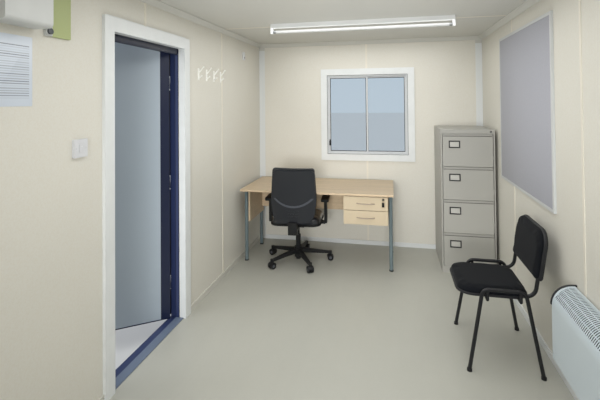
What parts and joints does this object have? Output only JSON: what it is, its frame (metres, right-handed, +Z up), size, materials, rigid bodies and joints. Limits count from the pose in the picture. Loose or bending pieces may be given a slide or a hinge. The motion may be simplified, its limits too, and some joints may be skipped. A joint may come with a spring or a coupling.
{
  "type": "portable site cabin",
  "caption": "Portable steel-clad site cabin with an outward-opening door in one side, a sliding window in one end, and a lined room with its fittings and office furniture.",
  "frame": {"origin": "centre of the underside of the base frame, on the bottom flange of the middle joist", "axes": "+X across the cabin away from the door side, +Y along the cabin to the window end, +Z up"},
  "size_m": [3.3409, 6.102, 2.7049],
  "materials": {
    "frame_paint": "satin enamel",
    "cladding_paint": "satin enamel",
    "roof_paint": "matt coating",
    "wall_vinyl": "vinyl-faced board",
    "ceiling_vinyl": "vinyl-faced board",
    "floor_vinyl": "sheet floor",
    "white_trim": "satin",
    "cover_strip": "satin",
    "aluminium": "mill",
    "window_glass": "clear",
    "light_body": "white enamel",
    "light_tube": "opal",
    "white_plastic": "moulded",
    "hook_paint": "white coating",
    "board_felt": "felt",
    "heater_paint": "white enamel",
    "unit_green": "moulded",
    "beech": "melamine-faced board",
    "desk_steel": "powder coat",
    "cabinet_paint": "enamel",
    "chair_plastic": "moulded",
    "chair_fabric": "woven",
    "chair_tube": "epoxy coat",
    "leaf_lining": "faced board",
    "handle_steel": "satin"
  },
  "bodies": {
    "cabin": {"base_frame": "frame_paint", "corner_posts": "frame_paint", "roof_frame": "frame_paint", "lifting_eyes": "frame_paint", "roof_sheet": "roof_paint", "cladding_door_side": "cladding_paint", "cladding_plain_side": "cladding_paint", "cladding_window_end": "cladding_paint", "cladding_rear_end": "cladding_paint", "floor_deck": "floor_vinyl", "ceiling_panel": "ceiling_vinyl", "door_wall_near": "wall_vinyl", "door_wall_far": "wall_vinyl", "door_wall_head": "wall_vinyl", "plain_wall": "wall_vinyl", "rear_wall": "wall_vinyl", "window_wall": "wall_vinyl", "skirting": "white_trim", "coving": "white_trim", "joint_strips": "cover_strip", "door_frame": "frame_paint", "threshold": "aluminium", "door_trim": "white_trim", "window_trim": "white_trim", "window_frame": "aluminium", "window_sashes": "aluminium", "window_glass": "window_glass", "light_batten": "light_body", "light_tube": "light_tube", "light_switch": "white_plastic", "coat_hooks": "hook_paint", "wall_sensor": "white_plastic", "pin_board": "board_felt", "heater_case": "heater_paint", "heater_grille": "heater_paint", "wall_unit": "white_plastic", "unit_board": "unit_green", "desk_top": "beech", "desk_legs": "desk_steel", "desk_panels": "beech", "pedestal_case": "beech", "cabinet_case": "cabinet_paint", "office_chair_base": "chair_plastic", "office_chair_frame": "chair_plastic", "office_chair_seat": "chair_fabric", "office_chair_back": "chair_plastic", "office_chair_back_pad": "chair_fabric", "visitor_chair_frame": "chair_tube", "visitor_chair_seat": "chair_fabric", "visitor_chair_back": "chair_fabric"},
    "door": {"door_leaf": "frame_paint", "door_leaf_lining": "leaf_lining", "door_handle": "handle_steel"},
    "upper_desk_drawer": {"desk_drawer_1": "beech"},
    "lower_desk_drawer": {"desk_drawer_2": "beech"},
    "file_drawer_1": {"cabinet_drawer_1": "cabinet_paint"},
    "file_drawer_2": {"cabinet_drawer_2": "cabinet_paint"},
    "file_drawer_3": {"cabinet_drawer_3": "cabinet_paint"},
    "file_drawer_4": {"cabinet_drawer_4": "cabinet_paint"}
  },
  "joints": [
    {"name": "door_hinge", "type": "hinge", "parent": "cabin", "child": "door", "pos_m": [-1.35, 1.0925, 1.17], "axis": [0, 0, -1], "range_deg": [-53, 112]},
    {"name": "upper_desk_drawer_slide", "type": "slide", "parent": "cabin", "child": "upper_desk_drawer", "axis": [0, -1, 0], "range_m": [0, 0.35]},
    {"name": "lower_desk_drawer_slide", "type": "slide", "parent": "cabin", "child": "lower_desk_drawer", "axis": [0, -1, 0], "range_m": [0, 0.35]},
    {"name": "file_drawer_1_slide", "type": "slide", "parent": "cabin", "child": "file_drawer_1", "axis": [0, -1, 0], "range_m": [0, 0.45]},
    {"name": "file_drawer_2_slide", "type": "slide", "parent": "cabin", "child": "file_drawer_2", "axis": [0, -1, 0], "range_m": [0, 0.45]},
    {"name": "file_drawer_3_slide", "type": "slide", "parent": "cabin", "child": "file_drawer_3", "axis": [0, -1, 0], "range_m": [0, 0.45]},
    {"name": "file_drawer_4_slide", "type": "slide", "parent": "cabin", "child": "file_drawer_4", "axis": [0, -1, 0], "range_m": [0, 0.45]}
  ]
}
